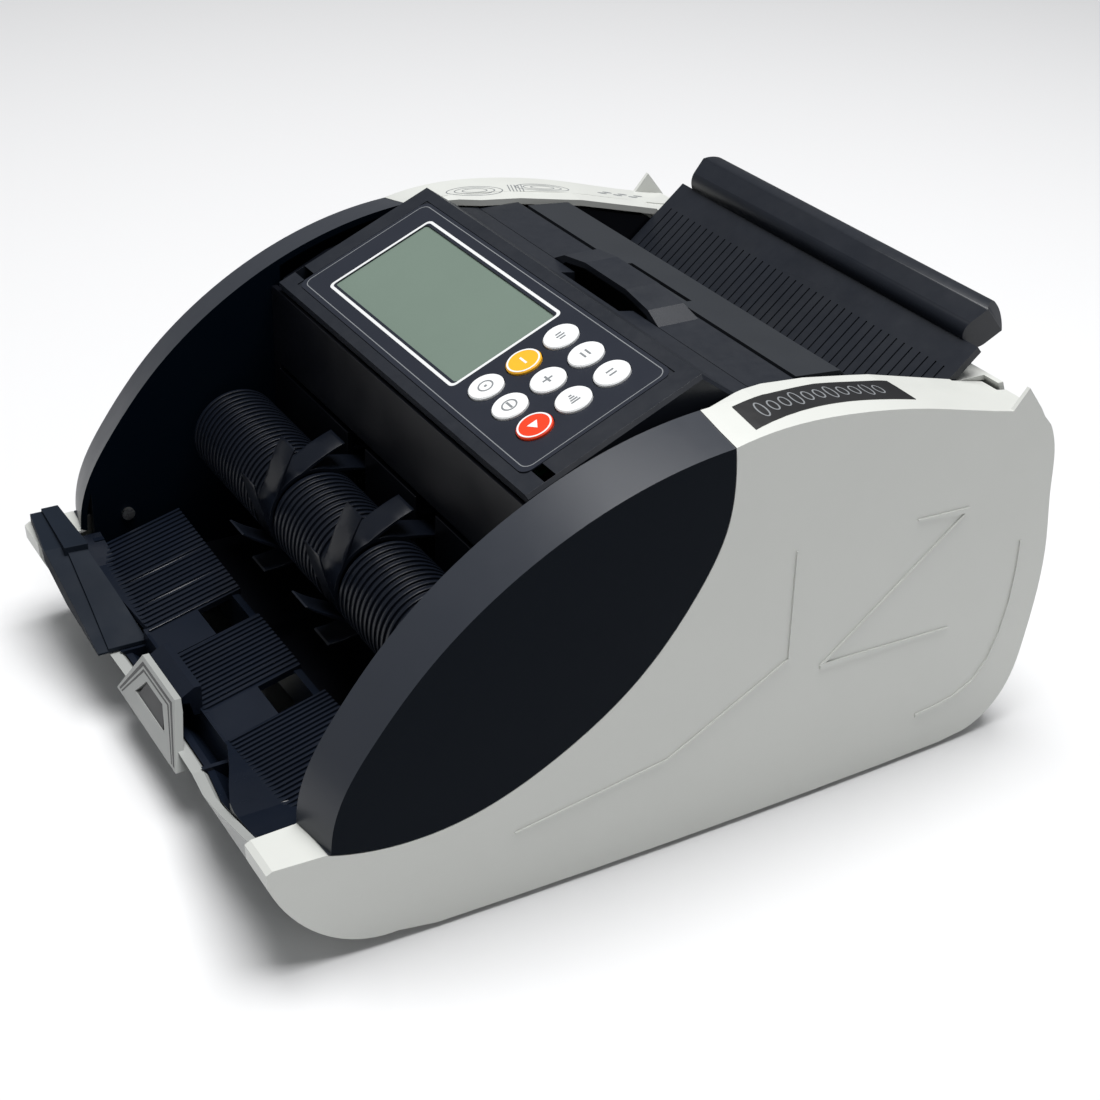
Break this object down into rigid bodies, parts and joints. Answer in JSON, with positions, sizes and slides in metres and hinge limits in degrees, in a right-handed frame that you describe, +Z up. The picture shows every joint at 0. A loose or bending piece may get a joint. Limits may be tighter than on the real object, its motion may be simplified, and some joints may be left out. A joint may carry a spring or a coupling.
{
  "type": "banknote counting machine",
  "caption": "Desktop banknote counter with open front stacker, tilted control panel, rear hopper, light gray side covers and black wings.",
  "frame": {"origin": "on the plane of the rubber feet, below the middle of the body", "axes": "+Z up, -Y the front with the note stacker, +X to the right seen from the front"},
  "size_m": [0.25, 0.3137, 0.1669],
  "materials": {
    "cover_gray": "satin",
    "gloss_black": "gloss",
    "black_plastic": "satin",
    "rubber": "matte",
    "steel": "satin",
    "motor_metal": "satin",
    "panel_film": "gloss",
    "lcd": "satin",
    "circuit_board": "satin",
    "key_white": "satin",
    "key_orange": "satin",
    "key_red": "satin"
  },
  "bodies": {
    "chassis": {"base_housing": "cover_gray", "chamber_back_wall": "black_plastic", "cover_hinge_pins": "steel", "display": "lcd", "drive_motor": "motor_metal", "encoder_sensor": "black_plastic", "guide_drums": "black_plastic", "hopper_front": "black_plastic", "hopper_plate": "black_plastic", "inner_wall_left": "gloss_black", "inner_wall_right": "gloss_black", "keypad_board": "circuit_board", "line_belt": "rubber", "lower_guide": "black_plastic", "main_belt": "rubber", "main_board": "circuit_board", "mains_inlet": "black_plastic", "panel_film": "panel_film", "panel_housing": "gloss_black", "rear_panel": "cover_gray", "retard_bracket": "steel", "retard_rollers": "rubber", "rubber_feet": "rubber", "screws": "steel", "shaft_bearings": "steel", "side_cover_left": "cover_gray", "side_cover_right": "cover_gray", "side_plate_left": "steel", "side_plate_right": "steel", "stacker_tray": "black_plastic", "stop_plate": "gloss_black", "switch_frame": "black_plastic", "tie_rods": "steel", "transformer": "motor_metal", "upper_guide": "black_plastic", "wing_left": "gloss_black", "wing_right": "gloss_black"},
    "stacker": {"stacker_shaft": "steel", "stacking_wheel_left": "black_plastic", "stacking_wheel_right": "black_plastic", "stacker_pulley": "black_plastic"},
    "transport": {"transport_shaft": "steel", "transport_rollers": "rubber", "encoder_disc": "black_plastic"},
    "feed": {"feed_shaft": "steel", "feed_rollers": "rubber"},
    "pickup": {"pickup_shaft": "steel", "pickup_rollers": "rubber"},
    "motor_rotor": {"motor_pulley": "steel"},
    "rocker": {"power_rocker": "black_plastic"},
    "top_cover": {"access_cover": "black_plastic"},
    "key_1_cap": {"key_1": "key_white"},
    "key_2_cap": {"key_2": "key_white"},
    "key_3_cap": {"key_3": "key_white"},
    "key_4_cap": {"key_4": "key_orange"},
    "key_5_cap": {"key_5": "key_white"},
    "key_6_cap": {"key_6": "key_white"},
    "key_7_cap": {"key_7": "key_white"},
    "key_8_cap": {"key_8": "key_white"},
    "key_9_cap": {"key_9": "key_red"}
  },
  "joints": [
    {"name": "stacker_spin", "type": "hinge", "parent": "chassis", "child": "stacker", "pos_m": [0, -0.072, 0.078], "axis": [1, 0, 0], "continuous": true},
    {"name": "transport_spin", "type": "hinge", "parent": "chassis", "child": "transport", "pos_m": [0, 0.018, 0.076], "axis": [1, 0, 0], "continuous": true},
    {"name": "feed_spin", "type": "hinge", "parent": "chassis", "child": "feed", "pos_m": [0, 0.0786, 0.0875], "axis": [1, 0, 0], "continuous": true},
    {"name": "pickup_spin", "type": "hinge", "parent": "chassis", "child": "pickup", "pos_m": [0, 0.0947, 0.1056], "axis": [1, 0, 0], "continuous": true},
    {"name": "motor_rotor_spin", "type": "hinge", "parent": "chassis", "child": "motor_rotor", "pos_m": [0, 0.005, 0.036], "axis": [1, 0, 0], "continuous": true},
    {"name": "key_1_press", "type": "slide", "parent": "chassis", "child": "key_1_cap", "axis": [0, 0.4099, -0.9121], "range_m": [0, 0.0008], "stiffness_N_per_m": 600},
    {"name": "key_2_press", "type": "slide", "parent": "chassis", "child": "key_2_cap", "axis": [0, 0.4099, -0.9121], "range_m": [0, 0.0008], "stiffness_N_per_m": 600},
    {"name": "key_3_press", "type": "slide", "parent": "chassis", "child": "key_3_cap", "axis": [0, 0.4099, -0.9121], "range_m": [0, 0.0008], "stiffness_N_per_m": 600},
    {"name": "key_4_press", "type": "slide", "parent": "chassis", "child": "key_4_cap", "axis": [0, 0.4099, -0.9121], "range_m": [0, 0.0008], "stiffness_N_per_m": 600},
    {"name": "key_5_press", "type": "slide", "parent": "chassis", "child": "key_5_cap", "axis": [0, 0.4099, -0.9121], "range_m": [0, 0.0008], "stiffness_N_per_m": 600},
    {"name": "key_6_press", "type": "slide", "parent": "chassis", "child": "key_6_cap", "axis": [0, 0.4099, -0.9121], "range_m": [0, 0.0008], "stiffness_N_per_m": 600},
    {"name": "key_7_press", "type": "slide", "parent": "chassis", "child": "key_7_cap", "axis": [0, 0.4099, -0.9121], "range_m": [0, 0.0008], "stiffness_N_per_m": 600},
    {"name": "key_8_press", "type": "slide", "parent": "chassis", "child": "key_8_cap", "axis": [0, 0.4099, -0.9121], "range_m": [0, 0.0008], "stiffness_N_per_m": 600},
    {"name": "key_9_press", "type": "slide", "parent": "chassis", "child": "key_9_cap", "axis": [0, 0.4099, -0.9121], "range_m": [0, 0.0008], "stiffness_N_per_m": 600},
    {"name": "rocker_tilt", "type": "hinge", "parent": "chassis", "child": "rocker", "pos_m": [0.036, 0.1474, 0.036], "axis": [0, 0, 1], "range_deg": [0, 16]},
    {"name": "top_cover_hinge", "type": "hinge", "parent": "chassis", "child": "top_cover", "pos_m": [0, 0.0532, 0.1529], "axis": [-1, 0, 0], "range_deg": [0, 60]}
  ],
  "couplings": [
    {"joint": "motor_rotor_spin", "follows": "stacker_spin", "ratio": 3},
    {"joint": "transport_spin", "follows": "stacker_spin", "ratio": 2.3333},
    {"joint": "feed_spin", "follows": "stacker_spin", "ratio": 2.3333},
    {"joint": "pickup_spin", "follows": "stacker_spin", "ratio": 2.3333}
  ]
}
